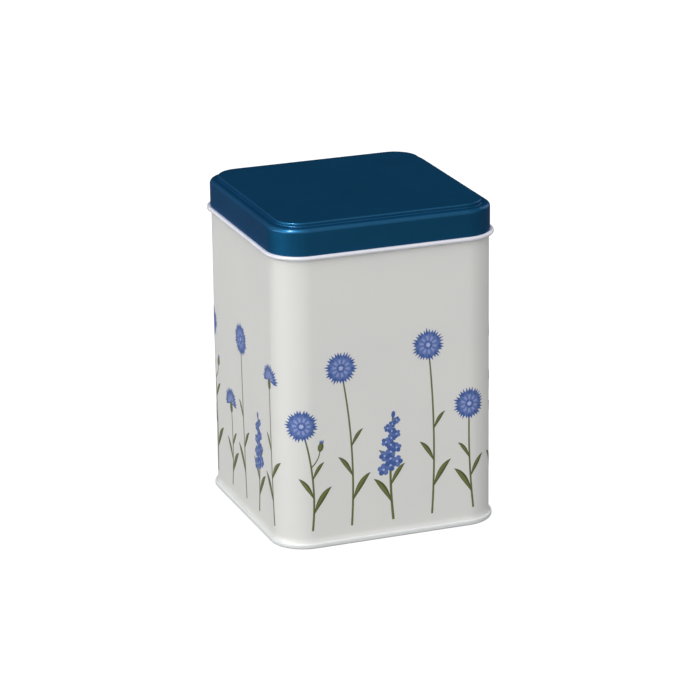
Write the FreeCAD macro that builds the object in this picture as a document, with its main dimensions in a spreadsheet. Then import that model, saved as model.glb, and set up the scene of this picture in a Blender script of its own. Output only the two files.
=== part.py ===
import FreeCAD, Part
import math
import os
import Sketcher

# Cookie tin: a square, round-cornered slip-lid tin pressed and rolled from thin tinplate.
#
# Frame: millimetres, +Z up, origin at the middle of the footprint on the surface the tin stands on.
# -Y is the front; the upright lock seam of the wall is in the middle of the back, on +Y.
#
# The tin is three pieces of sheet:
#   body_wall   one strip wrapped into a square tube, rolled inwards at the mouth and
#               folded outwards and up at the foot as the inner hook of the bottom seam
#   base_plate  the pressed bottom, whose edge is rolled round the wall's hook
#   lid         the pressed lid: stepped panel, shoulder, skirt and outward rolled edge
#
# Every piece has the same build: the section of the bent sheet is drawn once, padded along
# one side of the square, turned through one corner, and patterned four times about the axis.

SIZES = {
    # the square tube
    "half_width": (50.0, "tin's axis to the outer face of the wall"),
    "corner": (14.25, "outer radius of the wall's upright corners"),
    "sheet": (0.25, "thickness of the tinplate"),
    # the wall's mouth and lock seam
    "mouth_z": (142.5, "top of the rolled mouth"),
    "mouth_roll": (0.7, "centre-line radius of the rolled mouth"),
    "mouth_span": (305.0, "angle that the mouth is rolled through"),
    "lap_width": (3.5, "width of the lock seam"),
    "lap_thickness": (0.5, "folds of the lock seam standing inside the wall"),
    "lap_low_z": (4.0, "lower end of the lock seam's inner fold"),
    "lap_high_z": (139.8, "upper end of the lock seam's inner fold"),
    "groove_width": (0.2, "line where the lock seam's fold turns in, on the outside"),
    "groove_depth": (0.12, "depth of that line"),
    # the bottom seam, counted outwards from the wall
    "seam_gap": (0.15, "between the layers outside the wall"),
    "seam_top_z": (2.65, "top of the rolled bottom seam"),
    "seam_reach": (1.35, "seam's outer face beyond the wall's"),
    "seam_bend": (0.45, "centre-line radius of the seam's lower bend inside the wall"),
    "bead_bend": (0.95, "centre-line radius of the seam's round lower edge outside"),
    "wall_fold_bend": (0.35, "centre-line radius of the fold at the wall's foot"),
    "wall_fold_z": (0.475, "centre line of the fold at the wall's foot"),
    "wall_hook_z": (2.0, "tip of the wall's hook"),
    "base_fold_bend": (0.4, "centre-line radius at the top of the seam"),
    "base_hook_z": (1.15, "tip of the base's hook"),
    "base_fit": (0.05, "between the base and the inside of the wall"),
    # the base's panel
    "base_rim_z": (3.6, "centre line of the flat beside the wall"),
    "base_panel_z": (4.4, "centre line of the raised middle"),
    "base_step_in": (5.0, "raised middle's edge in from the wall's outer face"),
    "base_bend": (0.6, "centre-line radius of the base's press bends"),
    # the lid
    "total_height": (145.0, "top of the lid's panel"),
    "lid_clearance": (0.2, "between the skirt and the wall"),
    "shoulder_bend": (1.7, "centre-line radius of the shoulder"),
    "ledge_z": (143.25, "top of the ledge between shoulder and panel"),
    "panel_in": (3.65, "panel's edge in from the skirt's outer face"),
    "step_bend": (0.5, "centre-line radius of the step's bends"),
    "curl_z": (130.7, "middle of the lid's rolled edge"),
    "curl_roll": (0.825, "centre-line radius of the lid's rolled edge"),
    "curl_span": (309.0, "angle that the lid's edge is rolled through"),
}

# Places that follow from the sizes above, as expressions on the sheet.
HALF_SHEET = "Sizes.sheet / 2"
CORNER_AXIS = "(Sizes.half_width - Sizes.corner)"
WALL_LINE = f"(Sizes.half_width - {HALF_SHEET})"
WALL_HOOK_LINE = "(Sizes.half_width + 2 * Sizes.seam_gap + 1.5 * Sizes.sheet)"
BASE_HOOK_LINE = f"(Sizes.half_width + Sizes.seam_gap + {HALF_SHEET})"
BASE_INNER_LINE = "(Sizes.half_width - 1.5 * Sizes.sheet - Sizes.base_fit)"
BASE_OUTER_LINE = f"(Sizes.half_width + Sizes.seam_reach - {HALF_SHEET})"
SKIRT_FACE = "(Sizes.half_width + Sizes.lid_clearance + Sizes.sheet)"
SKIRT_LINE = f"({SKIRT_FACE} - {HALF_SHEET})"

QUARTER_TURN = 90.0
SIDES = 4


def write_sizes(doc):
    """Put the driving dimensions in the document's sheet, one named cell a row."""
    sizes = doc.addObject("Spreadsheet::Sheet", "Sizes")
    for row, (alias, (value, meaning)) in enumerate(SIZES.items(), start=1):
        sizes.set(f"A{row}", alias)
        sizes.set(f"B{row}", str(value))
        sizes.setAlias(f"B{row}", alias)
        sizes.set(f"C{row}", meaning)
    doc.recompute()
    return sizes


def origin_feature(body, role):
    """The body's own origin plane or axis that has this role."""
    return next(item for item in body.Origin.OriginFeatures if item.Role == role)


class StripSketch:
    """The section of one bent sheet, drawn from its centre line, in the plane where a corner starts.

    The centre line runs through square corners, each with a bend radius, and may end in a roll.
    The outline is that line offset by half a sheet to its left and to its right.
    """

    def __init__(self, body, sizes, name):
        self.sizes = sizes
        self.sketch = body.newObject("Sketcher::SketchObject", name)
        self.sketch.AttachmentSupport = [(origin_feature(body, "XZ_Plane"), "")]
        self.sketch.MapMode = "FlatFace"
        self.sketch.setExpression("AttachmentOffset.Base.z", f"-{CORNER_AXIS}")

    def value(self, expression):
        """The number that an expression on the sheet comes to."""
        return float(self.sizes.evalExpression(expression))

    def bind(self, constraint, expression):
        """Add a dimension and tie it to the sheet."""
        index = self.sketch.addConstraint(constraint)
        self.sketch.setExpression(f"Constraints[{index}]", expression)

    def bind_place(self, geometry, point, axis, expression):
        """Fix one coordinate of a geometry's point, counted from the sketch's origin."""
        kind = "DistanceX" if axis == 0 else "DistanceY"
        value = self.value(expression)
        self.bind(Sketcher.Constraint(kind, -1, 1, geometry, point, value), expression)

    def line(self, start, end):
        """Add a straight edge; gives its geometry and its first and last point numbers."""
        segment = Part.LineSegment(FreeCAD.Vector(*start, 0), FreeCAD.Vector(*end, 0))
        return self.sketch.addGeometry(segment, False), 1, 2

    def arc(self, centre, radius, span_from, span):
        """Add an arc travelled from one angle through a signed span, bound to centre and radius."""
        circle = Part.Circle(FreeCAD.Vector(*map(self.value, centre), 0), FreeCAD.Vector(0, 0, 1),
                             self.value(radius))
        low, high = sorted((span_from, span_from + span))
        geometry = self.sketch.addGeometry(Part.ArcOfCircle(circle, low, high), False)
        self.bind(Sketcher.Constraint("Radius", geometry, self.value(radius)), radius)
        self.bind_place(geometry, 3, 0, centre[0])
        self.bind_place(geometry, 3, 1, centre[1])
        return (geometry, 1, 2) if span > 0 else (geometry, 2, 1)

    def side(self, corners, roll, hand):
        """Draw one side of the strip.

        corners: (x, z, bend) expressions along the centre line, the bend None at a free end.
        roll: None, or (radius, span in degrees) expressions and +1 for a left turn, -1 for a right.
        hand: +1 for the side to the left of the line, -1 for the side to its right.
        Returns the side's first and last (geometry, point), which the end caps join.
        """
        points = [tuple(self.value(word) for word in corner[:2]) for corner in corners]
        ways = [unit_step(a, b) for a, b in zip(points, points[1:])]
        half = self.value(HALF_SHEET) * hand

        bends = []
        for (x, z, bend), way_in, way_out in zip(corners[1:-1], ways, ways[1:]):
            turn = way_in[0] * way_out[1] - way_in[1] * way_out[0]
            centre = (f"{x} + ({way_out[0] - way_in[0]}) * ({bend})",
                      f"{z} + ({way_out[1] - way_in[1]}) * ({bend})")
            radius = f"{bend} + ({-turn * hand}) * {HALF_SHEET}"
            bends.append((centre, radius, turn, way_in, math.pi / 2 * turn))
        if roll:
            radius, span, turn = roll
            x, z, _ = corners[-1]
            way_in = ways[-1]
            centre = (f"{x} + ({-way_in[1] * turn}) * ({radius})", f"{z} + ({way_in[0] * turn}) * ({radius})")
            radius = f"{radius} + ({-turn * hand}) * {HALF_SHEET}"
            bends.append((centre, radius, turn, way_in, math.radians(self.value(span)) * turn))

        def beside(index):
            """A centre-line point moved half a sheet to this side of the stretch it starts or ends."""
            way = ways[min(index, len(ways) - 1)]
            return points[index][0] - way[1] * half, points[index][1] + way[0] * half

        chain = []
        here = beside(0)
        for centre, radius, turn, way_in, span in bends:
            outwards = math.atan2(-way_in[0] * turn, way_in[1] * turn)
            size = self.value(radius)
            middle = tuple(map(self.value, centre))
            there = (middle[0] + size * math.cos(outwards), middle[1] + size * math.sin(outwards))
            chain.append(self.line(here, there))
            chain.append(self.arc(centre, radius, outwards, span))
            here = (middle[0] + size * math.cos(outwards + span), middle[1] + size * math.sin(outwards + span))
        if roll:
            geometry = chain[-1][0]
            self.bind(Sketcher.Constraint("Angle", geometry, math.radians(self.value(roll[1]))), roll[1])
        else:
            chain.append(self.line(here, beside(len(points) - 1)))

        for (one, _, one_end), (two, two_start, _) in zip(chain, chain[1:]):
            self.sketch.addConstraint(Sketcher.Constraint("Tangent", one, one_end, two, two_start))
        self.square_end(chain[0][0], chain[0][1], ways[0], corners[0])
        if not roll:
            self.square_end(chain[-1][0], chain[-1][2], ways[-1], corners[-1])
        return (chain[0][0], chain[0][1]), (chain[-1][0], chain[-1][2])

    def square_end(self, geometry, point, way, corner):
        """Hold a free end's edge upright or level, and stop it at its place."""
        axis = 0 if way[0] else 1
        self.sketch.addConstraint(Sketcher.Constraint("Horizontal" if way[0] else "Vertical", geometry))
        self.bind_place(geometry, point, axis, corner[axis])

    def draw(self, corners, roll=None):
        """Draw both sides of the strip, close its two ends, and add the upright axis of the corner."""
        left_start, left_end = self.side(corners, roll, +1)
        right_start, right_end = self.side(corners, roll, -1)
        for one, two in ((left_start, right_start), (left_end, right_end)):
            cap, first, last = self.line(self.sketch.getPoint(*one)[:2], self.sketch.getPoint(*two)[:2])
            self.sketch.addConstraint(Sketcher.Constraint("Coincident", cap, first, *one))
            self.sketch.addConstraint(Sketcher.Constraint("Coincident", cap, last, *two))
        axis_x = self.value(CORNER_AXIS)
        top = self.value("Sizes.total_height")
        axis, _, _ = self.line((axis_x, 0.0), (axis_x, top))
        self.sketch.setConstruction(axis, True)
        self.sketch.addConstraint(Sketcher.Constraint("Vertical", axis))
        self.bind_place(axis, 1, 0, CORNER_AXIS)
        self.sketch.addConstraint(Sketcher.Constraint("PointOnObject", axis, 1, -1))
        self.bind_place(axis, 2, 1, "Sizes.total_height")
        return self.sketch


def unit_step(start, end):
    """The direction of an upright or level stretch, as whole numbers."""
    dx, dz = end[0] - start[0], end[1] - start[1]
    if abs(dx) > abs(dz):
        return (1 if dx > 0 else -1), 0
    return 0, (1 if dz > 0 else -1)


def ring_of_strip(body, sketch, name):
    """Pad the section along one side, turn it through one corner, and repeat it round the square."""
    side = body.newObject("PartDesign::Pad", f"{name}_side")
    side.Profile = sketch
    side.setExpression("Length", f"2 * {CORNER_AXIS}")
    turn = body.newObject("PartDesign::Revolution", f"{name}_corner")
    turn.Profile = sketch
    turn.ReferenceAxis = (sketch, ["Axis0"])
    turn.Angle = QUARTER_TURN
    ring = body.newObject("PartDesign::PolarPattern", f"{name}_ring")
    ring.Originals = [side, turn]
    ring.Axis = (origin_feature(body, "Z_Axis"), [""])
    ring.Occurrences = SIDES
    ring.Angle = SIDES * QUARTER_TURN
    body.Tip = ring
    return ring


def box_feature(body, kind, name, low, size):
    """Add or cut a box inside a body: its low corner and its three lengths as expressions."""
    box = body.newObject(f"PartDesign::{kind}Box", name)
    for side, expression in zip(("Length", "Width", "Height"), size):
        box.setExpression(side, expression)
    for axis, expression in zip("xyz", low):
        box.setExpression(f"Placement.Base.{axis}", expression)
    body.Tip = box
    return box


def middle_panel(body, name, panel_line):
    """The flat square between the corner axes, at the same level as the strip that meets it."""
    low = (f"-{CORNER_AXIS}", f"-{CORNER_AXIS}", f"{panel_line} - {HALF_SHEET}")
    size = (f"2 * {CORNER_AXIS}", f"2 * {CORNER_AXIS}", "Sizes.sheet")
    return box_feature(body, "Additive", name, low, size)


def new_piece(doc, label):
    """An empty body at the tin's own origin."""
    body = doc.addObject("PartDesign::Body", label)
    body.Label = label
    body.Placement = FreeCAD.Placement()
    return body


def make_body_wall(doc, sizes):
    """The wall: hook at the foot, upright sheet, rolled mouth, and the lock seam at the back."""
    body = new_piece(doc, "body_wall")
    section = StripSketch(body, sizes, "wall_section").draw(
        [
            (WALL_HOOK_LINE, "Sizes.wall_hook_z", None),
            (WALL_HOOK_LINE, "Sizes.wall_fold_z", "Sizes.wall_fold_bend"),
            (WALL_LINE, "Sizes.wall_fold_z", "Sizes.wall_fold_bend"),
            (WALL_LINE, f"(Sizes.mouth_z - {HALF_SHEET} - Sizes.mouth_roll)", None),
        ],
        roll=("Sizes.mouth_roll", "Sizes.mouth_span", +1),
    )
    ring_of_strip(body, section, "wall")
    inner_face = "(Sizes.half_width - Sizes.sheet)"
    box_feature(
        body, "Additive", "lock_seam_fold",
        ("-Sizes.lap_width / 2", f"{inner_face} - Sizes.lap_thickness", "Sizes.lap_low_z"),
        ("Sizes.lap_width", f"Sizes.lap_thickness + {HALF_SHEET}", "Sizes.lap_high_z - Sizes.lap_low_z"),
    )
    box_feature(
        body, "Subtractive", "lock_seam_line",
        ("Sizes.lap_width / 2", "Sizes.half_width - Sizes.groove_depth", "Sizes.seam_top_z"),
        ("Sizes.groove_width", "Sizes.sheet", "Sizes.lap_high_z - Sizes.seam_top_z"),
    )
    return body


def make_base_plate(doc, sizes):
    """The base: raised middle, flat beside the wall, and the edge rolled round the wall's hook."""
    body = new_piece(doc, "base_plate")
    floor_line = f"({HALF_SHEET})"
    step_line = "(Sizes.half_width - Sizes.base_step_in)"
    seam_top_line = f"(Sizes.seam_top_z - {HALF_SHEET})"
    section = StripSketch(body, sizes, "base_section").draw(
        [
            (CORNER_AXIS, "Sizes.base_panel_z", None),
            (step_line, "Sizes.base_panel_z", "Sizes.sheet"),
            (step_line, "Sizes.base_rim_z", "Sizes.sheet"),
            (BASE_INNER_LINE, "Sizes.base_rim_z", "Sizes.base_bend"),
            (BASE_INNER_LINE, floor_line, "Sizes.seam_bend"),
            (BASE_OUTER_LINE, floor_line, "Sizes.bead_bend"),
            (BASE_OUTER_LINE, seam_top_line, "Sizes.base_fold_bend"),
            (BASE_HOOK_LINE, seam_top_line, "Sizes.base_fold_bend"),
            (BASE_HOOK_LINE, "Sizes.base_hook_z", None),
        ]
    )
    ring_of_strip(body, section, "base")
    middle_panel(body, "base_middle", "Sizes.base_panel_z")
    return body


def make_lid(doc, sizes):
    """The lid: raised panel, ledge, shoulder, skirt and the edge rolled outwards."""
    body = new_piece(doc, "lid")
    panel_line = f"(Sizes.total_height - {HALF_SHEET})"
    ledge_line = f"(Sizes.ledge_z - {HALF_SHEET})"
    panel_edge = f"({SKIRT_LINE} - Sizes.panel_in)"
    section = StripSketch(body, sizes, "lid_section").draw(
        [
            (CORNER_AXIS, panel_line, None),
            (panel_edge, panel_line, "Sizes.step_bend"),
            (panel_edge, ledge_line, "Sizes.step_bend"),
            (SKIRT_LINE, ledge_line, "Sizes.shoulder_bend"),
            (SKIRT_LINE, "Sizes.curl_z", None),
        ],
        roll=("Sizes.curl_roll", "Sizes.curl_span", +1),
    )
    ring_of_strip(body, section, "lid")
    middle_panel(body, "lid_middle", panel_line)
    return body


def check_document(doc, pieces):
    """Stop if any object failed, or a piece is not one valid solid."""
    for item in doc.Objects:
        if "Invalid" in item.State or "Error" in item.State:
            raise RuntimeError(f"{item.Name} failed: {item.State}")
    for piece in pieces:
        shape = piece.Shape
        if shape.isNull() or not shape.isValid():
            raise RuntimeError(f"{piece.Label} has no valid shape")
        if len(shape.Solids) != 1:
            raise RuntimeError(f"{piece.Label} is {len(shape.Solids)} solids")


def main():
    """Build the three pieces, check them and write one STEP file each."""
    doc = FreeCAD.newDocument("cookie_tin")
    sizes = write_sizes(doc)
    pieces = [make_body_wall(doc, sizes), make_base_plate(doc, sizes), make_lid(doc, sizes)]
    doc.recompute()
    check_document(doc, pieces)

    os.makedirs("parts", exist_ok=True)
    for piece in pieces:
        box = piece.Shape.BoundBox
        print(f"{piece.Label}: {piece.Shape.Volume:.0f} mm3, {box.XLength:.2f} x {box.YLength:.2f} x "
              f"{box.ZLength:.2f} mm, z {box.ZMin:.2f} to {box.ZMax:.2f}")
        piece.Shape.exportStep(f"parts/{piece.Label}.step")


main()
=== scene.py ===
"""The looks of a square slip-lid cookie tin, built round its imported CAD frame.

The tin is three sheets of tinplate: the wall, the base and the lid. Each is rebuilt here from the
centre line of its sheet, turned once round a rounded square and given the sheet's thickness, so that
rolls, folds and press bends are real shapes. The meadow flowers on the wall are thin films of
printing ink, one piece for each pass of the press.
"""

import logging
import math
import random
from dataclasses import dataclass, field
from collections.abc import Callable
from enum import Enum

import bpy
from mathutils import Matrix, Vector


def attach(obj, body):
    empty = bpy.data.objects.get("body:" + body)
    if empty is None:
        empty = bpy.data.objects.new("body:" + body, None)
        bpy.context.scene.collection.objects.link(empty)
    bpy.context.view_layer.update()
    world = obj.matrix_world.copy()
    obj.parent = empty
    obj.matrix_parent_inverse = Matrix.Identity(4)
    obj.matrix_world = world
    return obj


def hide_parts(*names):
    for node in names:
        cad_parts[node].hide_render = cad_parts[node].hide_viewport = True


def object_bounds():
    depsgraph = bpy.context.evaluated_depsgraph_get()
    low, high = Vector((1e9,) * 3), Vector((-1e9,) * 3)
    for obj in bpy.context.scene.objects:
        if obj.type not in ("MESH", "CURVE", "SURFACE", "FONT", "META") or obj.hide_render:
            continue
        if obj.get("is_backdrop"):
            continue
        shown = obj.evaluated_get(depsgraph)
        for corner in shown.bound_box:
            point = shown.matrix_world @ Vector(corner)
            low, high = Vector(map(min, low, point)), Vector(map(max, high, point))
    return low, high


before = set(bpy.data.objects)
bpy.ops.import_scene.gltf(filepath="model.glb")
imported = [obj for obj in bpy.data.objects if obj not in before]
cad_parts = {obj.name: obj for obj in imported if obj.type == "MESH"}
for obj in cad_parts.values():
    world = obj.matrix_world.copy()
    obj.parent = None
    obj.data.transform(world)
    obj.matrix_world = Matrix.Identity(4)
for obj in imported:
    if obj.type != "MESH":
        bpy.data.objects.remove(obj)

LOG = logging.getLogger("cookie_tin")
MM = 0.001
TIN_BODY = "tin"
LID_BODY = "lid"
QUARTER_TURN = math.pi / 2

# Spin turns clockwise about its axis, so these point away from the side that the turn is counted from.
SPIN_LEFT = (0.0, 1.0, 0.0)
SPIN_ROUND = (0.0, 0.0, -1.0)

EPS = 0.01 * MM
PANEL_MARGIN = 4.0 * MM

Point = tuple[float, float]


# ------------------------------
# Working with operators
# ------------------------------


def select_none() -> None:
    """Leave edit mode and deselect every object."""
    if bpy.context.object and bpy.context.object.mode != "OBJECT":
        bpy.ops.object.mode_set(mode="OBJECT")
    bpy.ops.object.select_all(action="DESELECT")


def work_on(piece: bpy.types.Object) -> None:
    """Make one object the only selected one, and the active one."""
    select_none()
    piece.select_set(True)
    bpy.context.view_layer.objects.active = piece


def edit_all() -> None:
    """Go into edit mode on the active object with all of it selected."""
    bpy.ops.object.mode_set(mode="EDIT")
    bpy.ops.mesh.select_all(action="SELECT")


def end_edit() -> None:
    """Go back to object mode."""
    bpy.ops.object.mode_set(mode="OBJECT")


def direction(azimuth: float, elevation: float) -> Vector:
    """Find the unit direction out from the tin at an azimuth and elevation in degrees; 0 is the front."""
    a, e = math.radians(azimuth), math.radians(elevation)
    return Vector((math.sin(a) * math.cos(e), -math.cos(a) * math.cos(e), math.sin(e)))


def apply_modifier(piece: bpy.types.Object, kind: str, **settings: object) -> None:
    """Add one modifier to a piece, set it up and apply it.

    Args:
        piece: the object that gets the modifier.
        kind: the modifier's type, such as "SOLIDIFY".
        settings: the modifier's own settings, by name.
    """
    work_on(piece)
    modifier = piece.modifiers.new(kind.title(), kind)
    for name, value in settings.items():
        setattr(modifier, name, value)
    bpy.ops.object.modifier_apply(modifier=modifier.name)


def smooth(piece: bpy.types.Object, sharpest: float = 40.0) -> None:
    """Shade a piece smooth up to an angle in degrees, and keep its flat stretches flat."""
    work_on(piece)
    bpy.ops.object.shade_smooth_by_angle(angle=math.radians(sharpest))
    apply_modifier(piece, "WEIGHTED_NORMAL", mode="FACE_AREA", weight=90, keep_sharp=True)


# ------------------------------
# Finishes
# ------------------------------


class NodePen:
    """Adds nodes to one material and joins them, in a few short words."""

    def __init__(self, name: str) -> None:
        """Start a material with only a Principled shader and its output.

        Args:
            name: the material's name.
        """
        self.material = bpy.data.materials.new(name)
        self.material.use_nodes = True
        self.tree = self.material.node_tree
        self.tree.nodes.clear()
        self.output = self.add("ShaderNodeOutputMaterial")
        self.shader = self.add("ShaderNodeBsdfPrincipled")
        self.join(self.shader, "BSDF", self.output, "Surface")

    def add(self, kind: str, **values: object) -> bpy.types.Node:
        """Add a node and set its sockets or properties by name.

        Args:
            kind: the node's type.
            values: property names, or socket names with underscores for spaces.

        Returns:
            The new node.
        """
        node = self.tree.nodes.new(kind)
        for name, value in values.items():
            if hasattr(node, name):
                setattr(node, name, value)
            else:
                node.inputs[name.replace("_", " ")].default_value = value
        return node

    def dial(self, **values: object) -> None:
        """Set the shader's sockets, named with underscores for spaces."""
        for name, value in values.items():
            self.shader.inputs[name.replace("_", " ")].default_value = value

    def join(self, one: bpy.types.Node, out: str, two: bpy.types.Node, into: str | int) -> None:
        """Join one node's output socket to another's input socket."""
        self.tree.links.new(one.outputs[out], two.inputs[into])

    def noise(self, scale: float, detail: float = 2.0, stretch: Point | None = None) -> bpy.types.Node:
        """Add a noise texture fixed to the piece's own space.

        Args:
            scale: waves per metre.
            detail: octaves of finer noise.
            stretch: None, or how much the pattern is squeezed across and along Z.

        Returns:
            The noise node.
        """
        place = self.add("ShaderNodeTexCoord")
        turn = self.add("ShaderNodeMapping")
        if stretch:
            turn.inputs["Scale"].default_value = (stretch[0], stretch[0], stretch[1])
        texture = self.add("ShaderNodeTexNoise", Scale=scale, Detail=detail)
        self.join(place, "Object", turn, "Vector")
        self.join(turn, "Vector", texture, "Vector")
        return texture

    def spread(self, source: bpy.types.Node, low: float, high: float) -> bpy.types.Node:
        """Stretch a noise from its middle values to a range of numbers."""
        steps = self.add("ShaderNodeMapRange", From_Min=0.3, From_Max=0.7, To_Min=low, To_Max=high)
        self.join(source, "Fac", steps, "Value")
        return steps

    def tint(self, source: bpy.types.Node, one: tuple, two: tuple) -> bpy.types.Node:
        """Mix two colours by a noise."""
        ramp = self.add("ShaderNodeValToRGB")
        ramp.color_ramp.elements[0].position = 0.3
        ramp.color_ramp.elements[1].position = 0.7
        ramp.color_ramp.elements[0].color = (*one, 1.0)
        ramp.color_ramp.elements[1].color = (*two, 1.0)
        self.join(source, "Fac", ramp, "Fac")
        return ramp

    def bump(self, source: bpy.types.Node, depth: float,
             under: bpy.types.Node | None = None) -> bpy.types.Node:
        """Turn a noise into relief of a real depth in metres, laid over another relief if given."""
        relief = self.add("ShaderNodeBump", Strength=1.0, Distance=depth)
        self.join(source, "Fac", relief, "Height")
        if under:
            self.join(under, "Normal", relief, "Normal")
        return relief


@dataclass(frozen=True)
class SatinLacquer:
    """Stoved satin lacquer on tinplate: even colour, soft gloss, a faint orange peel and slow waves.

    A see-through lacquer lets the metal under it shine in its own colour, under a thin clear gloss.
    """

    name: str
    colour: tuple[float, float, float]
    shade: tuple[float, float, float]
    roughness: float
    gloss: float = 0.5
    peel_depth: float = 0.0003 * MM
    wave_depth: float = 0.03 * MM
    metal: float = 0.0
    edge_tint: tuple[float, float, float] = (1.0, 1.0, 1.0)
    clear_coat: float = 0.0
    clear_roughness: float = 0.15

    def material(self) -> bpy.types.Material:
        """Make the material."""
        pen = NodePen(self.name)
        pen.dial(Specular_IOR_Level=self.gloss, Metallic=self.metal, Specular_Tint=(*self.edge_tint, 1.0),
                 Coat_Weight=self.clear_coat, Coat_Roughness=self.clear_roughness)
        drift = pen.noise(scale=24.0, detail=3.0)
        pen.join(pen.tint(drift, self.colour, self.shade), "Color", pen.shader, "Base Color")
        haze = pen.noise(scale=90.0, detail=4.0)
        rough = pen.spread(haze, self.roughness - 0.03, self.roughness + 0.03)
        pen.join(rough, "Result", pen.shader, "Roughness")
        waves = pen.bump(pen.noise(scale=16.0, detail=1.0), self.wave_depth)
        peel = pen.bump(pen.noise(scale=1500.0, detail=2.0), self.peel_depth, waves)
        pen.join(peel, "Normal", pen.shader, "Normal")
        return pen.material


@dataclass(frozen=True)
class CutTinplate:
    """The sheared edge of the sheet: bright tin, dulled and streaked by the cut."""

    name: str = "cut_tinplate"
    colour: tuple[float, float, float] = (0.62, 0.61, 0.58)
    shade: tuple[float, float, float] = (0.42, 0.41, 0.39)
    roughness: float = 0.38

    def material(self) -> bpy.types.Material:
        """Make the material."""
        pen = NodePen(self.name)
        pen.dial(Metallic=1.0)
        streaks = pen.noise(scale=900.0, detail=3.0)
        pen.join(pen.tint(streaks, self.colour, self.shade), "Color", pen.shader, "Base Color")
        rough = pen.spread(streaks, self.roughness - 0.1, self.roughness + 0.12)
        pen.join(rough, "Result", pen.shader, "Roughness")
        return pen.material


# ------------------------------
# The plan of the tin
# ------------------------------


@dataclass(frozen=True)
class RoundedSquare:
    """The plan of the wall's outer face: a square with rounded corners about the Z axis."""

    half_width: float = 50.0 * MM
    corner: float = 14.25 * MM

    @property
    def axis(self) -> float:
        """How far the corner axes stand from the middle, along X and along Y."""
        return self.half_width - self.corner

    @property
    def corner_length(self) -> float:
        """The length of the wall's outer face round one corner."""
        return self.corner * QUARTER_TURN

    @property
    def side_length(self) -> float:
        """The girth of one side with one corner."""
        return 2 * self.axis + self.corner_length

    def corner_bounds(self, corner: int) -> tuple[float, float]:
        """Where a corner starts and ends along the girth, counted from the middle of the front."""
        start = self.axis + corner * self.side_length
        return start, start + self.corner_length

    def wrap(self, along: float, height: float, out: float) -> Vector:
        """A point of the flat print, laid on the wall.

        Args:
            along: distance round the outer face from the middle of the front, towards +X.
            height: distance above the ground.
            out: distance outside the outer face.

        Returns:
            The point in the tin's own space.
        """
        side = math.floor((along + self.axis) / self.side_length)
        rest = along + self.axis - side * self.side_length
        turn = side * QUARTER_TURN
        if rest <= 2 * self.axis:
            local = Vector((rest - self.axis, -self.half_width - out, 0.0))
        else:
            angle = (rest - 2 * self.axis) / self.corner
            reach = self.corner + out
            local = Vector((self.axis + reach * math.sin(angle), -self.axis - reach * math.cos(angle), 0.0))
        cos, sin = math.cos(turn), math.sin(turn)
        return Vector((local.x * cos - local.y * sin, local.x * sin + local.y * cos, height))


# ------------------------------
# Bent sheets
# ------------------------------


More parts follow.
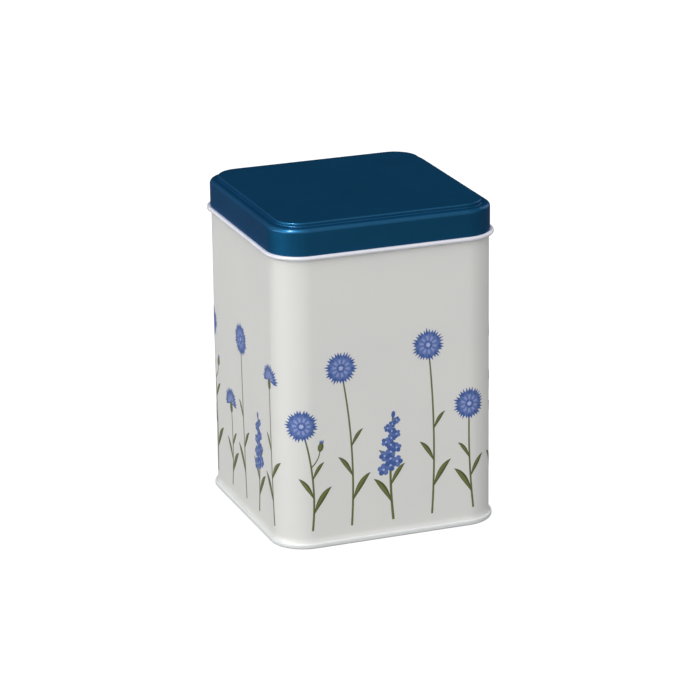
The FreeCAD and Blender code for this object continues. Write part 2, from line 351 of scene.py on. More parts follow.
class SheetSection:
    """Draws the centre line of a bent sheet as a wire, by extruding and spinning its last point."""

    def __init__(self, name: str, plan: RoundedSquare, x: float, z: float, heading: Point) -> None:
        """Put down the first point, where the +X side of the square starts.

        Args:
            name: the new object's name.
            plan: the square that the section is taken round later.
            x: the first point's distance from the axis.
            z: the first point's height.
            heading: unit direction (x, z) of the first straight.
        """
        select_none()
        bpy.ops.mesh.primitive_plane_add(size=MM)
        self.piece = bpy.context.object
        self.piece.name = name
        self.plan = plan
        self.x, self.z = x, z
        self.heading = heading
        edit_all()
        bpy.ops.mesh.select_mode(type="VERT")
        bpy.ops.mesh.merge(type="CENTER")
        bpy.ops.transform.translate(value=(x, -plan.axis, z))

    def straight(self, length: float) -> "SheetSection":
        """Run straight on for a length."""
        step = (self.heading[0] * length, self.heading[1] * length)
        bpy.ops.mesh.extrude_region_move(TRANSFORM_OT_translate={"value": (step[0], 0.0, step[1])})
        self.x, self.z = self.x + step[0], self.z + step[1]
        return self

    def bend(self, radius: float, degrees: float, steps: int = 8) -> "SheetSection":
        """Bend round an arc: positive degrees turn left, seen with +X to the right and +Z up."""
        turn = math.radians(degrees)
        side = math.copysign(1.0, turn)
        centre = (self.x - self.heading[1] * side * radius, self.z + self.heading[0] * side * radius)
        bpy.ops.mesh.spin(steps=steps, angle=turn, center=(centre[0], -self.plan.axis, centre[1]),
                          axis=SPIN_LEFT)
        dx, dz = self.x - centre[0], self.z - centre[1]
        cos, sin = math.cos(turn), math.sin(turn)
        self.x, self.z = centre[0] + dx * cos - dz * sin, centre[1] + dx * sin + dz * cos
        hx, hz = self.heading
        self.heading = (hx * cos - hz * sin, hx * sin + hz * cos)
        return self

    def step(self, run: float, rise: float, radius: float, steps: int = 6) -> "SheetSection":
        """Make a smooth double bend: a level run in or out that also climbs, then level again.

        Args:
            run: how far the sheet travels along its heading over the step.
            rise: how far it moves to its left over the step, negative for its right.
            radius: radius of both bends.
            steps: segments of each bend.
        """
        side = math.copysign(1.0, rise)
        offset = abs(rise)
        reach = math.hypot(run, offset - 2 * radius)
        angle = math.atan2(offset - 2 * radius, run) + math.asin(min(1.0, 2 * radius / reach))
        straight = math.sqrt(max(reach * reach - 4 * radius * radius, 0.0))
        self.bend(radius, math.degrees(angle) * side, steps)
        self.straight(straight)
        self.bend(radius, -math.degrees(angle) * side, steps)
        return self

    def take_round(self, corner_steps: int = 24) -> bpy.types.Object:
        """Take the finished wire once round the square and close the ring.

        Args:
            corner_steps: segments of each upright corner.

        Returns:
            The open sheet's object, in object mode.
        """
        axis = self.plan.axis
        bpy.ops.mesh.select_all(action="SELECT")
        for quarter in range(4):
            turn = quarter * QUARTER_TURN
            along = (-math.sin(turn), math.cos(turn))
            corner = (math.cos(turn) - math.sin(turn), math.sin(turn) + math.cos(turn))
            step = (along[0] * 2 * axis, along[1] * 2 * axis, 0.0)
            bpy.ops.mesh.extrude_region_move(TRANSFORM_OT_translate={"value": step})
            bpy.ops.mesh.spin(steps=corner_steps, angle=QUARTER_TURN, axis=SPIN_ROUND,
                              center=(corner[0] * axis, corner[1] * axis, 0.0))
        bpy.ops.mesh.select_all(action="SELECT")
        bpy.ops.mesh.remove_doubles(threshold=0.001 * MM)
        end_edit()
        return self.piece


@dataclass
class TinSheet:
    """What the three sheets share: the plan, the tinplate and its lacquers."""

    plan: RoundedSquare
    sheet: float = 0.25 * MM
    outside: SatinLacquer = field(default=None)
    inside: SatinLacquer = field(default=None)

    def give_thickness(self, piece: bpy.types.Object) -> None:
        """Give a bent sheet its thickness, with its own lacquer on each face and bare cut edges.

        Args:
            piece: the open sheet on its centre line, its faces pointing to the outside.
        """
        for finish in (self.outside, self.inside, CutTinplate()):
            piece.data.materials.append(finish.material())
        apply_modifier(piece, "SOLIDIFY", thickness=self.sheet, offset=0.0, use_even_offset=True,
                       use_quality_normals=True, material_offset=1, material_offset_rim=2)

    def face_outwards(self, piece: bpy.types.Object, probe: Vector) -> None:
        """Turn an open sheet's faces so that the one nearest to a point looks towards that point.

        Args:
            piece: the open sheet.
            probe: a point outside the tin.
        """
        work_on(piece)
        edit_all()
        bpy.ops.mesh.normals_make_consistent(inside=False)
        end_edit()
        nearest = min(piece.data.polygons, key=lambda face: (face.center - probe).length)
        if nearest.normal.dot(probe - nearest.center) < 0:
            edit_all()
            bpy.ops.mesh.flip_normals()
            end_edit()

    def close_panel(self, piece: bpy.types.Object, level: float) -> None:
        """Fill the middle of a ring with one flat face, inside the loop of edges at a level.

        Args:
            piece: the ring.
            level: height of the loop to fill.
        """
        work_on(piece)
        reach = self.plan.axis + PANEL_MARGIN + EPS
        for vertex in piece.data.vertices:
            here = vertex.co
            vertex.select = abs(here.z - level) < EPS and max(abs(here.x), abs(here.y)) < reach
        bpy.ops.object.mode_set(mode="EDIT")
        bpy.ops.mesh.select_mode(type="VERT")
        bpy.ops.mesh.edge_face_add()
        end_edit()


@dataclass
class Lid(TinSheet):
    """The lid: flat panel, one step, ledge, round shoulder, skirt and the lower edge rolled outwards."""

    top_z: float = 145.0 * MM
    ledge_z: float = 143.25 * MM
    clearance: float = 0.2 * MM
    panel_in: float = 3.65 * MM
    step_bend: float = 0.5 * MM
    shoulder_bend: float = 1.7 * MM
    curl_z: float = 130.7 * MM
    curl_radius: float = 0.825 * MM
    curl_degrees: float = 309.0

    def build(self) -> bpy.types.Object:
        """Model the lid as one pressed sheet.

        Returns:
            The finished lid.
        """
        half = self.sheet / 2
        panel = self.top_z - half
        skirt = self.plan.half_width + self.clearance + half
        start = self.plan.axis + PANEL_MARGIN
        section = SheetSection("lid_shell", self.plan, start, panel, heading=(1.0, 0.0))
        bend = self.step_bend
        section.straight(skirt - self.panel_in - start - bend)
        section.bend(bend, -90)
        section.straight(self.top_z - self.ledge_z - 2 * bend)
        section.bend(bend, 90)
        section.straight(skirt - self.shoulder_bend - section.x)
        section.bend(self.shoulder_bend, -90, steps=16)
        section.straight(section.z - self.curl_z)
        section.bend(self.curl_radius, self.curl_degrees, steps=36)
        piece = section.take_round()
        self.close_panel(piece, panel)
        self.face_outwards(piece, Vector((0.0, 0.0, 2 * self.top_z)))
        self.give_thickness(piece)
        smooth(piece)
        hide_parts("lid")
        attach(piece, LID_BODY)
        return piece


@dataclass
class BodyWall(TinSheet):
    """The wall: a hook at the foot, a faint flare, the upright sheet and the mouth rolled inwards."""

    mouth_z: float = 142.5 * MM
    mouth_radius: float = 0.7 * MM
    mouth_degrees: float = 305.0
    hook_tip_z: float = 1.9 * MM
    hook_out: float = 0.805 * MM
    fold_z: float = 0.475 * MM
    flare_out: float = 0.4 * MM
    flare_z: float = 2.35 * MM
    flare_turn: float = 1.0 * MM
    flare_bend: float = 9.0 * MM
    lap_width: float = 3.5 * MM
    lap_thickness: float = 0.5 * MM
    lap_low_z: float = 4.0 * MM
    lap_high_z: float = 139.8 * MM
    lap_bend: float = 0.18 * MM
    groove_width: float = 0.2 * MM
    groove_depth: float = 0.12 * MM

    def build(self) -> bpy.types.Object:
        """Model the wall as one wrapped and rolled strip.

        Returns:
            The finished wall.
        """
        half = self.sheet / 2
        hook = self.plan.half_width + self.hook_out
        foot = self.plan.half_width - half + self.flare_out
        lean = math.degrees(math.acos(1.0 - self.flare_out / (self.flare_turn + self.flare_bend)))
        bend = (hook - foot) / 2
        section = SheetSection("wall_shell", self.plan, hook, self.hook_tip_z, heading=(0.0, -1.0))
        section.straight(self.hook_tip_z - self.fold_z - bend)
        section.bend(bend, -180, steps=10)
        section.straight(self.flare_z - section.z)
        section.bend(self.flare_turn, lean, steps=3)
        section.bend(self.flare_bend, -lean, steps=12)
        section.straight(self.mouth_z - half - self.mouth_radius - section.z)
        section.bend(self.mouth_radius, self.mouth_degrees, steps=32)
        piece = section.take_round()
        self.face_outwards(piece, Vector((10 * self.plan.half_width, 0.0, self.mouth_z / 2)))
        self.give_thickness(piece)
        self.press_groove(piece)
        smooth(piece)
        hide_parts("body_wall")
        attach(piece, TIN_BODY)
        return piece

    def block(self, name: str, low: Vector, high: Vector) -> bpy.types.Object:
        """Add an upright block between two corners, with its place in its mesh."""
        select_none()
        bpy.ops.mesh.primitive_cube_add(size=1.0)
        piece = bpy.context.object
        piece.name = name
        edit_all()
        bpy.ops.transform.resize(value=tuple(high - low))
        bpy.ops.transform.translate(value=tuple((low + high) / 2))
        end_edit()
        return piece

    def press_groove(self, piece: bpy.types.Object) -> None:
        """Cut the fine line that the lock seam leaves down the outside of the back.

        Args:
            piece: the wall, with its thickness.
        """
        face = self.plan.half_width
        low = Vector((self.lap_width / 2, face - self.groove_depth, self.lap_low_z))
        high = Vector((self.lap_width / 2 + self.groove_width, face + self.groove_width, self.lap_high_z))
        cutter = self.block("groove_cutter", low, high)
        apply_modifier(piece, "BOOLEAN", operation="DIFFERENCE", solver="EXACT", object=cutter)
        bpy.data.objects.remove(cutter)

    def build_lap(self) -> bpy.types.Object:
        """Model the folded band of the lock seam, inside the back of the wall.

        Returns:
            The finished band.
        """
        face = self.plan.half_width - self.sheet
        reach = self.lap_width / 2
        low = Vector((-reach, face - self.lap_thickness, self.lap_low_z))
        piece = self.block("wall_lap_fold", low, Vector((reach, face + EPS, self.lap_high_z)))
        bpy.ops.object.mode_set(mode="EDIT")
        bpy.ops.mesh.select_mode(type="FACE")
        bpy.ops.mesh.select_all(action="DESELECT")
        end_edit()
        for side in piece.data.polygons:
            side.select = side.normal.y < -0.5
        bpy.ops.object.mode_set(mode="EDIT")
        bpy.ops.mesh.bevel(offset=self.lap_bend, segments=5, affect="EDGES")
        end_edit()
        piece.data.materials.append(self.inside.material())
        smooth(piece, sharpest=50)
        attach(piece, TIN_BODY)
        return piece


@dataclass
class BasePlate(TinSheet):
    """The base: raised middle, flat beside the wall, and the edge rolled round the wall's hook."""

    panel_z: float = 4.4 * MM
    rim_z: float = 3.6 * MM
    step_in: float = 5.0 * MM
    press_bend: float = 0.6 * MM
    seam_reach: float = 1.35 * MM
    foot_bend: float = 0.4 * MM
    bead_low_bend: float = 1.0 * MM
    bead_side: float = 0.6 * MM
    bead_high_bend: float = 0.9 * MM
    bead_lean: float = 50.0
    fit: float = 0.05 * MM
    hook_out: float = 0.543 * MM
    hook_tip_z: float = 1.15 * MM

    def build(self) -> bpy.types.Object:
        """Model the base as one pressed sheet with a rolled edge.

        Returns:
            The finished base.
        """
        half = self.sheet / 2
        outer = self.plan.half_width + self.seam_reach - half
        inner = self.plan.half_width - self.sheet - self.fit - half
        hook = self.plan.half_width + self.hook_out
        start = self.plan.axis + PANEL_MARGIN
        section = SheetSection("base_shell", self.plan, start, self.panel_z, heading=(1.0, 0.0))
        section.straight(self.plan.half_width - self.step_in - start - 1.0 * MM)
        section.step(2.0 * MM, self.rim_z - self.panel_z, self.press_bend)
        section.straight(inner - self.press_bend - section.x)
        section.bend(self.press_bend, -90)
        section.straight(section.z - self.foot_bend - half)
        section.bend(self.foot_bend, 90)
        section.straight(outer - self.bead_low_bend - section.x)
        section.bend(self.bead_low_bend, 90, steps=12)
        section.straight(self.bead_side)
        section.bend(self.bead_high_bend, self.bead_lean, steps=8)
        lean = math.radians(self.bead_lean)
        section.bend((section.x - hook) / (1.0 + math.cos(lean)), 180 - self.bead_lean, steps=10)
        section.straight(section.z - self.hook_tip_z)
        piece = section.take_round()
        self.close_panel(piece, self.panel_z)
        self.face_outwards(piece, Vector((10 * self.plan.half_width, 0.0, self.hook_tip_z)))
        self.give_thickness(piece)
        smooth(piece)
        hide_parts("base_plate")
        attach(piece, TIN_BODY)
        return piece


# ------------------------------
# Drawing the print
# ------------------------------


class Ink(Enum):
    """The inks of the print, in the order of the press."""

    OLIVE = "olive"
    DARK_OLIVE = "dark_olive"
    DEEP_BLUE = "deep_blue"
    MID_BLUE = "mid_blue"
    PALE_BLUE = "pale_blue"
    LILAC = "lilac"


class HeadView(Enum):
    """How a field flower's head is turned."""

    FULL = "seen from the front"
    PROFILE = "seen from the side"


@dataclass(frozen=True)
class PrintingInk:
    """Stoved printing ink: a flat tone that drifts a little, with the gloss of the varnish over it."""

    name: str
    colour: tuple[float, float, float]
    drift: float = 0.92
    roughness: float = 0.36
    gloss: float = 0.4

    def material(self) -> bpy.types.Material:
        """Make the material."""
        pen = NodePen(self.name)
        pen.dial(Specular_IOR_Level=self.gloss)
        shade = tuple(value * self.drift for value in self.colour)
        pen.join(pen.tint(pen.noise(scale=160.0, detail=3.0), self.colour, shade), "Color",
                 pen.shader, "Base Color")
        rough = pen.spread(pen.noise(scale=90.0, detail=4.0), self.roughness - 0.03, self.roughness + 0.03)
        pen.join(rough, "Result", pen.shader, "Roughness")
        return pen.material


INKS = {
    Ink.OLIVE: PrintingInk("olive_ink", (0.150, 0.172, 0.052)),
    Ink.DARK_OLIVE: PrintingInk("dark_olive_ink", (0.072, 0.088, 0.022)),
    Ink.DEEP_BLUE: PrintingInk("deep_blue_ink", (0.058, 0.118, 0.345)),
    Ink.MID_BLUE: PrintingInk("mid_blue_ink", (0.110, 0.180, 0.440)),
    Ink.PALE_BLUE: PrintingInk("pale_blue_ink", (0.270, 0.335, 0.620)),
    Ink.LILAC: PrintingInk("lilac_ink", (0.420, 0.480, 0.760)),
}

# Lengths on the flat print are millimetres: girth from the middle of the front, and height.
GROUND = 8.0
FILM_BASE = 0.03 * MM
FILM_STEP = 0.0025 * MM
FILM_ROOT = 0.01 * MM
CORNER_CUTS = 30

Outline = list[Point]


@dataclass(frozen=True)
class Spot:
    """A place on the flat print, and the way up there in degrees clockwise from upright."""

    x: float
    y: float
    tilt: float = 0.0

    def at(self, across: float, up: float) -> Point:
        """Find a point by its distances across and up from here."""
        angle = math.radians(self.tilt)
        cos, sin = math.cos(angle), math.sin(angle)
        return self.x + across * cos + up * sin, self.y - across * sin + up * cos

    def ray(self, degrees: float, length: float) -> Point:
        """Find a point a length away, in a direction clockwise from the way up."""
        angle = math.radians(degrees)
        return self.at(length * math.sin(angle), length * math.cos(angle))

    def moved(self, across: float, up: float, turn: float = 0.0) -> "Spot":
        """Move across and up, and turn the way up clockwise."""
        x, y = self.at(across, up)
        return Spot(x, y, self.tilt + turn)


class Nib:
    """The draughtsman's pen: draws outlines with a slightly unsteady hand."""

    def __init__(self, seed: int) -> None:
        """Start a pen whose unsteadiness always runs the same way.

        Args:
            seed: number of the hand.
        """
        self.chance = random.Random(seed)

    def wobble(self, share: float) -> float:
        """Draw a factor within a share of one."""
        return 1.0 + self.chance.uniform(-share, share)

    def floret(self, spot: Spot, degrees: float, reach: float, spread: float, teeth: int,
               depth: float) -> Outline:
        """Outline a trumpet floret: a narrow throat that opens to a toothed rim.

        Args:
            spot: the middle of the head.
            degrees: where the floret points, clockwise from the spot's way up.
            reach: from the middle to the tips of the teeth.
            spread: half of the angle that the rim takes.
            teeth: how many teeth the rim has.
            depth: how deep the teeth are cut.

        Returns:
            The outline.
        """
        flank = [(0.5, 0.1), (0.75, 0.35), (0.95, 0.6)]
        outline = [spot.ray(degrees - spread * turn, reach * far) for turn, far in flank]
        for index in range(2 * teeth + 1):
            share = index / teeth - 1.0
            length = (reach if index % 2 else reach - depth) * (1.0 - 0.1 * share * share)
            outline.append(spot.ray(degrees + spread * share * self.wobble(0.06), length * self.wobble(0.05)))
        outline += [spot.ray(degrees + spread * turn, reach * far) for turn, far in reversed(flank)]
        return outline

    def star(self, spot: Spot, tips: int, outer: float, inner: float) -> Outline:
        """Outline a star, or a burst of many tips."""
        outline = []
        for index in range(2 * tips):
            angle = math.pi * index / tips
            length = (inner if index % 2 else outer) * self.wobble(0.07)
            outline.append(spot.at(length * math.sin(angle), length * math.cos(angle)))
        return outline

    def petal(self, spot: Spot, degrees: float, reach: float, width: float) -> Outline:
        """Outline one plain round-ended petal that grows from the spot."""
        line = spot.moved(0.0, 0.0, degrees)
        shape = ((0.0, 0.0), (-0.3, 0.3), (-0.5, 0.62), (-0.32, 0.92), (0.0, 1.0), (0.32, 0.92), (0.5, 0.62),
                 (0.3, 0.3))
        return [line.at(x * width * self.wobble(0.08), y * reach) for x, y in shape]

    def oval(self, spot: Spot, across: float, up: float, steps: int = 18) -> Outline:
        """Outline an oval about the spot."""
        angles = [2 * math.pi * index / steps for index in range(steps)]
        return [spot.at(across * math.sin(angle), up * math.cos(angle)) for angle in angles]


def arched(start: Point, over: Point, end: Point, steps: int = 14) -> Outline:
    """Draw an arch from one point to another, pulled towards a third."""
    line = []
    for index in range(steps + 1):
        t = index / steps
        line.append(tuple(a * (1 - t) ** 2 + 2 * b * t * (1 - t) + c * t * t
                          for a, b, c in zip(start, over, end)))
    return line


def ribbon(line: Outline, left: Callable[[float], float], right: Callable[[float], float]) -> Outline:
    """Outline a band along a line.

    Args:
        line: the band's line.
        left: how far the band reaches to the left, at a share of the line's points.
        right: the same to the right.

    Returns:
        The outline.
    """
    ports, starboards = [], []
    last = len(line) - 1
    for index, (x, y) in enumerate(line):
        before, after = line[max(index - 1, 0)], line[min(index + 1, last)]
        dx, dy = after[0] - before[0], after[1] - before[1]
        length = math.hypot(dx, dy)
        share = index / last
        ports.append((x - dy / length * left(share), y + dx / length * left(share)))
        starboards.append((x + dy / length * right(share), y - dx / length * right(share)))
    return ports + starboards[::-1]


class PrintSheet:
    """The flat print: every patch of ink, and how far it stands off the wall."""

    def __init__(self, plan: RoundedSquare) -> None:
        """Start an empty print for a wall."""
        self.plan = plan
        self.start = 0.0
        self.level = 0
        self.patches = {ink: [] for ink in Ink}

    def next_plant(self, half_film: int) -> None:
        """Start again from the lowest film, half a film up where half_film is 1, as its neighbours aren't."""
        self.start = 0.5 * half_film
        self.level = 0

    def rise_to(self, level: int) -> None:
        """Go on from a given film, for a small part that overlaps only its neighbours."""
        self.level = level

    def lay(self, ink: Ink, outline: Outline) -> None:
        """Lay one patch of ink over those that the plant has already."""
        self.level += 1
        self.patches[ink].append((outline, FILM_BASE + FILM_STEP * (self.start + self.level)))

    def cuts(self, ink: Ink) -> list[float]:
        """List where an ink's patches are cut upright, so that they can follow the round corners."""
        spans = [(min(x for x, _ in outline) * MM, max(x for x, _ in outline) * MM)
                 for outline, _ in self.patches[ink]]
        found = []
        for corner in range(-3, 3):
            start, end = self.plan.corner_bounds(corner)
            for index in range(CORNER_CUTS + 1):
                cut = start + (end - start) * index / CORNER_CUTS
                if any(low < cut < high for low, high in spans):
                    found.append(cut)
        return found

    def press(self, ink: Ink) -> bpy.types.Object:
        """Make one ink's patches a piece: cut flat, given their depth, and wrapped round the wall.

        Args:
            ink: which ink.

        Returns:
            The finished piece.
        """
        points, faces = [], []
        for outline, out in self.patches[ink]:
            first = len(points)
            points += [(x * MM, -out, y * MM) for x, y in outline]
            faces.append(range(first, len(points)))
        mesh = bpy.data.meshes.new(f"print_{ink.value}")
        mesh.from_pydata(points, [], faces)
        piece = bpy.data.objects.new(mesh.name, mesh)
        bpy.context.scene.collection.objects.link(piece)
        work_on(piece)
        edit_all()
        bpy.ops.mesh.select_mode(type="VERT")
        bpy.ops.mesh.quads_convert_to_tris(quad_method="BEAUTY", ngon_method="BEAUTY")
        for cut in self.cuts(ink):
            bpy.ops.mesh.select_all(action="SELECT")
            bpy.ops.mesh.bisect(plane_co=(cut, 0.0, 0.0), plane_no=(1.0, 0.0, 0.0))
        bpy.ops.mesh.select_all(action="SELECT")
        bpy.ops.mesh.extrude_region_move(TRANSFORM_OT_translate={"value": (0.0, MM, 0.0)})
        end_edit()
        for vertex in mesh.vertices:
            along, depth, height = vertex.co
            out = -FILM_ROOT if depth > MM / 2 else -depth
            vertex.co = self.plan.wrap(along, height, out)
        edit_all()
        bpy.ops.mesh.normals_make_consistent(inside=False)
        end_edit()
        bpy.ops.object.shade_smooth_by_angle(angle=math.radians(25))
        mesh.materials.append(INKS[ink].material())
        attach(piece, TIN_BODY)
        return piece


@dataclass(frozen=True)
class Plant:
    """A gently bowed stem with leaves by turns on its two sides; each kind draws its own head.

    Lengths are millimetres on the flat print; side is 1 or -1, the side of the lowest leaf.
    """

    root: float
    height: float
    lean: float
    side: int
    has_bud: bool = False
    thickness: float = 0.8
    leaves: int = 3
    lowest_leaf: float = 0.16
    leaf_gap: float = 0.18
    leaf_length: float = 15.0
    leaf_width: float = 2.4
    bow: float = 2.5
    bud_share: float = 0.66

    def draw(self, sheet: PrintSheet, nib: Nib) -> None:
        """Draw the whole plant.

        Args:
            sheet: the print.
            nib: the pen.
        """
        foot = (self.root, GROUND)
        top = (self.root + self.lean, GROUND + self.height)
        line = arched(foot, (self.root + self.side * self.bow, GROUND + self.height / 2), top, steps=30)
        if self.has_bud:
            self.draw_bud(sheet, nib, line)
        self.draw_stem(sheet, line, self.thickness)
        for index in range(self.leaves):
            self.draw_leaf(sheet, line, index)
        (x1, y1), (x2, y2) = line[-2], line[-1]
        self.draw_head(sheet, nib, Spot(x2, y2, math.degrees(math.atan2(x2 - x1, y2 - y1))), line)

    def draw_stem(self, sheet: PrintSheet, line: Outline, thickness: float) -> None:
        """Draw a stem that thins towards its top, light on one side."""
        half = thickness / 2

        def edge(t: float) -> float:
            return half * (1.15 - 0.3 * t)

        sheet.lay(Ink.DARK_OLIVE, ribbon(line, edge, edge))
        sheet.lay(Ink.OLIVE, ribbon(line, lambda t: half * (0.95 - 0.2 * t), lambda t: half * 0.5))

    def draw_leaf(self, sheet: PrintSheet, line: Outline, index: int) -> None:
        """Draw one narrow leaf that rises from the stem; each next one is smaller and on the other side."""
        x, y = line[round((self.lowest_leaf + self.leaf_gap * index) * (len(line) - 1))]
        hand = self.side * (-1) ** index
        length = self.leaf_length * 0.8 ** index
        spine = arched((x, y), (x + hand * 0.25 * length, y + 0.6 * length),
                       (x + hand * 0.55 * length, y + 0.8 * length))

        def bulge(share: float) -> Callable[[float], float]:
            half = self.leaf_width * 0.8 ** index / 2
            return lambda t: 0.06 + share * half * math.sin(math.pi * t)

        sheet.lay(Ink.DARK_OLIVE, ribbon(spine, bulge(1.0), bulge(1.0)))
        sheet.lay(Ink.OLIVE, ribbon(spine[1:-1], bulge(0.75), bulge(0.3)))

    def draw_bud(self, sheet: PrintSheet, nib: Nib, line: Outline) -> None:
        """Draw a small upright bud, blue at its tip, on a short side shoot."""
        x, y = line[round(self.bud_share * (len(line) - 1))]
        spot = Spot(x + self.side * 4.0, y + 7.0, self.side * 12.0)
        self.draw_stem(sheet, arched((x, y), (x + self.side * 3.6, y + 3.0), (spot.x, spot.y)), 0.5)
        sheet.lay(Ink.MID_BLUE, nib.floret(spot, 0.0, 5.4, 14.0, 3, 1.0))
        sheet.lay(Ink.DARK_OLIVE, nib.oval(spot.moved(0.0, 1.8), 1.3, 2.0))
        sheet.lay(Ink.OLIVE, nib.oval(spot.moved(-0.15, 1.8), 0.9, 1.7))

    def draw_head(self, sheet: PrintSheet, nib: Nib, neck: Spot, line: Outline) -> None:
        """Draw what stands on the end of the stem: nothing on a bare one.

        Args:
            sheet: the print.
            nib: the pen.
            neck: the end of the stem, and the way that it points.
            line: the stem's line.
        """


@dataclass(frozen=True)
class FieldFlower(Plant):
    """A blue field flower: three even rings of toothed florets, shown full or in profile."""

    view: HeadView = HeadView.FULL
    reach: float = 7.6
    florets: int = 10
    rings: tuple[tuple[Ink, float, float], ...] = (
        (Ink.DEEP_BLUE, 1.0, 17.0), (Ink.MID_BLUE, 0.8, 14.0), (Ink.PALE_BLUE, 0.62, 10.0))

    def draw_head(self, sheet: PrintSheet, nib: Nib, neck: Spot, line: Outline) -> None:
        """Draw the rings from the widest in, then the cup of a profile or the eye of a full head."""
        full = self.view is HeadView.FULL
        count = self.florets if full else self.florets // 2 + 1
        heart = neck.moved(0.0, 0.6 * self.reach if full else 3.4)
        for row, (ink, share, spread) in enumerate(self.rings):
            for index in range(count):
                if full:
                    turn = 360.0 * (index + 0.5 * row) / count
                else:
                    turn = 84.0 * (2.0 * index / (count - 1) - 1.0) * (1.0 - 0.08 * row)
                floret = nib.floret(heart, turn, self.reach * share, spread, 3, 0.24 * self.reach * share)
                sheet.lay(ink, floret)
        if full:
            sheet.lay(Ink.DEEP_BLUE, nib.star(heart, 10, 0.3 * self.reach, 0.19 * self.reach))
            sheet.lay(Ink.LILAC, nib.star(heart, 8, 0.17 * self.reach, 0.1 * self.reach))
        else:
            sheet.lay(Ink.DARK_OLIVE, nib.oval(neck.moved(0.0, 1.9), 1.6, 2.5))
            sheet.lay(Ink.OLIVE, nib.oval(neck.moved(-0.2, 1.9), 1.1, 2.1))


@dataclass(frozen=True)
class FlowerSpike(Plant):
    """A spike of small plain flowers set evenly by turns up the top of its stem."""

    thickness: float = 1.0
    flowers: int = 15
    lowest_share: float = 0.5
    petals: int = 5
    reach: float = 2.9
    first_film: int = 9
    films_each: int = 12

    def draw_head(self, sheet: PrintSheet, nib: Nib, neck: Spot, line: Outline) -> None:
        """Draw one bud at the tip, and the flowers in a left, middle and right row below it."""
        sheet.lay(Ink.DEEP_BLUE, nib.oval(neck.moved(0.0, 1.2), 0.9, 1.6))
        for index in range(self.flowers):
            rise = index / self.flowers
            x, y = line[round((self.lowest_share + (1.0 - self.lowest_share) * rise) * (len(line) - 1))]
            reach = self.reach * (1.0 - 0.45 * rise)
            across = (-1.0, 0.0, 1.0, 0.0)[index % 4] * 1.1 * reach
            sheet.rise_to(self.first_film + self.films_each * (index % 3))
            spot = Spot(x + across, y, 12.0 * index)
            for petal in range(self.petals):
                ink = Ink.DEEP_BLUE if (petal + index) % 2 else Ink.MID_BLUE
                sheet.lay(ink, nib.petal(spot, 360.0 * petal / self.petals, reach, 0.85 * reach))
            sheet.lay(Ink.LILAC, nib.oval(spot, 0.2 * reach, 0.2 * reach, steps=8))


@dataclass
class MeadowPrint:
    """A plain meadow border round the wall, drawn by rule, leaving the lock seam clear.

    Its places, heights and bends come from the rules here and a seeded draw, not from any printed tin.
    """

    plan: RoundedSquare
    seed: int = 7
    count: int = 19
    half_girth: float = 176.0
    tall: tuple[float, float] = (60.0, 74.0)
    low: tuple[float, float] = (34.0, 48.0)

    def plants(self) -> list[Plant]:
        """List the plants round the wall: tall and low by turns, each fourth one a spike."""
        chance = random.Random(self.seed)
        gap = 2 * self.half_girth / self.count
        found = []
        for index in range(self.count):
            root = -self.half_girth + (index + 0.5) * gap + chance.uniform(-1.5, 1.5)
            height = chance.uniform(*(self.low if index % 2 else self.tall))
            lean = chance.uniform(-4.0, 4.0)
            side = chance.choice((1, -1))
            if index % 4 == 1:
                found.append(FlowerSpike(root, height + 6.0, lean / 2, side))
            else:
                view = HeadView.PROFILE if index % 3 == 0 else HeadView.FULL
                found.append(FieldFlower(root, height, lean, side, has_bud=index % 5 == 2, view=view))
        return found

    def build(self) -> list[bpy.types.Object]:
        """Draw the meadow and press its inks onto the wall.

        Returns:
            One piece for each ink.
        """
        sheet = PrintSheet(self.plan)
        nib = Nib(self.seed)
        for index, plant in enumerate(self.plants()):
            sheet.next_plant(half_film=index % 2)
            plant.draw(sheet, nib)
        return [sheet.press(ink) for ink in Ink]


# ------------------------------
# The studio
# ------------------------------


@dataclass(frozen=True)
class SoftBox:
    """One softbox: where it stands round the tin, how large it is and how bright."""

    name: str
    azimuth: float
    elevation: float
    distance: float
    width: float
    height: float
    power: float
    shine_only: bool = False

    def hang(self, target: Vector) -> bpy.types.Object:
        """Add the light, looking at a point.

        Args:
            target: what the box is turned to.

        Returns:
            The light's object.
        """
        away = direction(self.azimuth, self.elevation)
        light = bpy.data.lights.new(self.name, "AREA")
        light.shape = "RECTANGLE"
        light.size, light.size_y = self.width, self.height
        light.energy = self.power
        holder = bpy.data.objects.new(self.name, light)
        bpy.context.scene.collection.objects.link(holder)
        holder.location = target + away * self.distance
        holder.rotation_euler = (-away).to_track_quat("-Z", "Y").to_euler()
        holder.visible_diffuse = not self.shine_only
        return holder


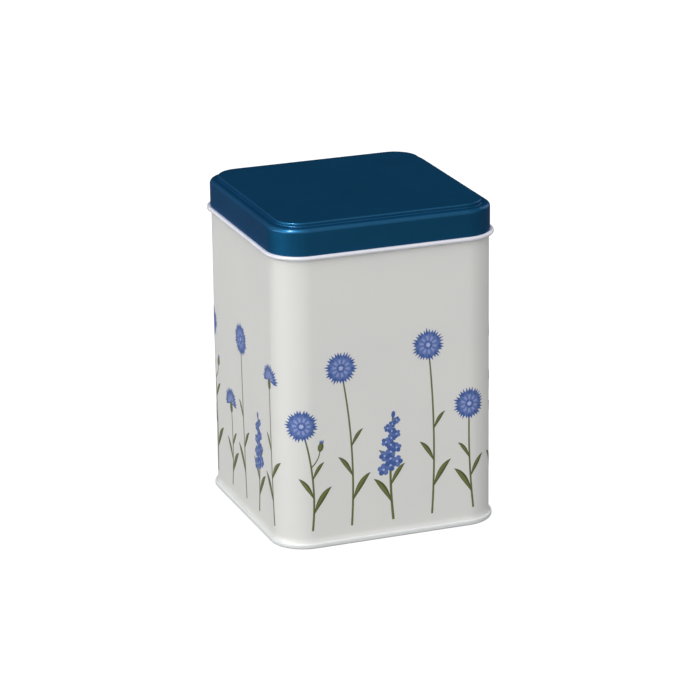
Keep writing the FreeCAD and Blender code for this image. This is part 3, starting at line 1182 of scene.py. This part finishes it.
@dataclass
class Studio:
    """A pale floor, soft light and the camera."""

    target: Vector
    floor_half: float = 6.0
    floor_colour: tuple[float, float, float] = (0.26, 0.26, 0.26)
    floor_glow: float = 0.88
    fill_azimuth: float = -48.0
    fill_dark: float = 0.04
    fill_bright: float = 1.40
    boxes: tuple[SoftBox, ...] = (
        SoftBox("key_box", azimuth=-48, elevation=24, distance=1.6, width=0.9, height=1.1, power=3.6),
        SoftBox("low_box", azimuth=-75, elevation=8, distance=1.8, width=0.7, height=0.5, power=3.4),
        SoftBox("strip_box", azimuth=-56, elevation=48, distance=1.6, width=0.36, height=1.0, power=50,
                shine_only=True),
        SoftBox("sheen_box", azimuth=-88, elevation=5, distance=1.6, width=1.5, height=0.26, power=11,
                shine_only=True),
        SoftBox("top_box", azimuth=20, elevation=80, distance=1.6, width=1.4, height=1.4, power=2),
        SoftBox("back_box", azimuth=112, elevation=26, distance=1.8, width=1.2, height=1.2, power=8),
    )
    lens: float = 170.8
    camera_place: tuple[float, float, float] = (-491.2 * MM, -1299.2 * MM, 533.9 * MM)
    azimuth: float = -20.7127
    elevation: float = 18.4716
    roll: float = -0.6837

    def lay_floor(self) -> bpy.types.Object:
        """Lay the pale floor that the tin stands on."""
        select_none()
        bpy.ops.mesh.primitive_plane_add(size=2 * self.floor_half)
        floor = bpy.context.object
        floor.name = "studio_floor"
        pen = NodePen("studio_floor")
        pen.dial(Base_Color=(*self.floor_colour, 1.0), Roughness=0.9, Specular_IOR_Level=0.0,
                 Emission_Color=(1.0, 1.0, 1.0, 1.0))
        glow = pen.add("ShaderNodeMath", operation="MULTIPLY")
        glow.inputs[1].default_value = self.floor_glow
        pen.join(pen.add("ShaderNodeLightPath"), "Is Camera Ray", glow, 0)
        pen.join(glow, "Value", pen.shader, "Emission Strength")
        floor.data.materials.append(pen.material)
        floor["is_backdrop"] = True
        return floor

    def light(self) -> None:
        """Hang the softboxes and fill the room from the same side."""
        for box in self.boxes:
            box.hang(self.target)
        world = bpy.data.worlds.new("studio_air")
        bpy.context.scene.world = world
        world.use_nodes = True
        tree = world.node_tree
        air = tree.nodes["Background"]
        place = tree.nodes.new("ShaderNodeTexCoord")
        side = tree.nodes.new("ShaderNodeVectorMath")
        side.operation = "DOT_PRODUCT"
        a = math.radians(self.fill_azimuth)
        side.inputs[1].default_value = (math.sin(a), -math.cos(a), 0.15)
        fill = tree.nodes.new("ShaderNodeMapRange")
        span = {"From Min": -0.75, "From Max": 0.8, "To Min": self.fill_dark, "To Max": self.fill_bright}
        for name, value in span.items():
            fill.inputs[name].default_value = value
        tree.links.new(place.outputs["Generated"], side.inputs[0])
        tree.links.new(side.outputs["Value"], fill.inputs["Value"])
        tree.links.new(fill.outputs["Result"], air.inputs["Strength"])
        air.inputs["Color"].default_value = (1.0, 1.0, 1.0, 1.0)
        bpy.context.scene.view_settings.view_transform = "Standard"

    def place_camera(self) -> bpy.types.Object:
        """Set the camera at its viewing angle, with the slight roll of a hand-levelled tripod."""
        a, r = math.radians(self.azimuth), math.radians(self.roll)
        back = direction(self.azimuth, self.elevation)
        level = Vector((math.cos(a), math.sin(a), 0.0))
        upright = back.cross(level)
        right = level * math.cos(r) + upright * math.sin(r)
        up = upright * math.cos(r) - level * math.sin(r)
        lens = bpy.data.cameras.new("studio_camera")
        lens.lens = self.lens
        lens.clip_start, lens.clip_end = 0.05, 50.0
        camera = bpy.data.objects.new("studio_camera", lens)
        bpy.context.scene.collection.objects.link(camera)
        camera.matrix_world = Matrix((right, up, back)).transposed().to_4x4()
        camera.location = Vector(self.camera_place)
        bpy.context.scene.camera = camera
        return camera


def main() -> None:
    """Build the tin, dress it and set up the studio."""
    logging.basicConfig(level=logging.INFO, format="%(name)s: %(message)s")
    cad_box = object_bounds()
    plan = RoundedSquare()
    white = SatinLacquer("wall_lacquer", (0.74, 0.74, 0.715), (0.72, 0.72, 0.70), roughness=0.36)
    seam_white = SatinLacquer("base_lacquer", (0.74, 0.76, 0.76), (0.71, 0.73, 0.73), roughness=0.33)
    inner_white = SatinLacquer("inner_lacquer", (0.74, 0.74, 0.80), (0.72, 0.72, 0.78), roughness=0.34)
    navy = SatinLacquer("navy_lacquer", (0.005, 0.068, 0.152), (0.004, 0.062, 0.139), roughness=0.4,
                        gloss=0.0, peel_depth=0.0001 * MM, wave_depth=0.01 * MM, metal=0.6,
                        edge_tint=(0.05, 0.35, 0.8), clear_coat=0.22, clear_roughness=0.1)
    wall = BodyWall(plan, outside=white, inside=inner_white)
    base = BasePlate(plan, outside=seam_white, inside=inner_white)
    lid = Lid(plan, outside=navy, inside=inner_white)
    pieces = [wall.build(), wall.build_lap(), base.build(), lid.build()]
    pieces += MeadowPrint(plan).build()
    for piece in pieces:
        LOG.info("%s: %d faces", piece.name, len(piece.data.polygons))
    low, high = cad_box
    studio = Studio(target=(low + high) / 2)
    studio.lay_floor()
    studio.light()
    studio.place_camera()
    bpy.context.view_layer.update()


if __name__ == "__main__":
    main()
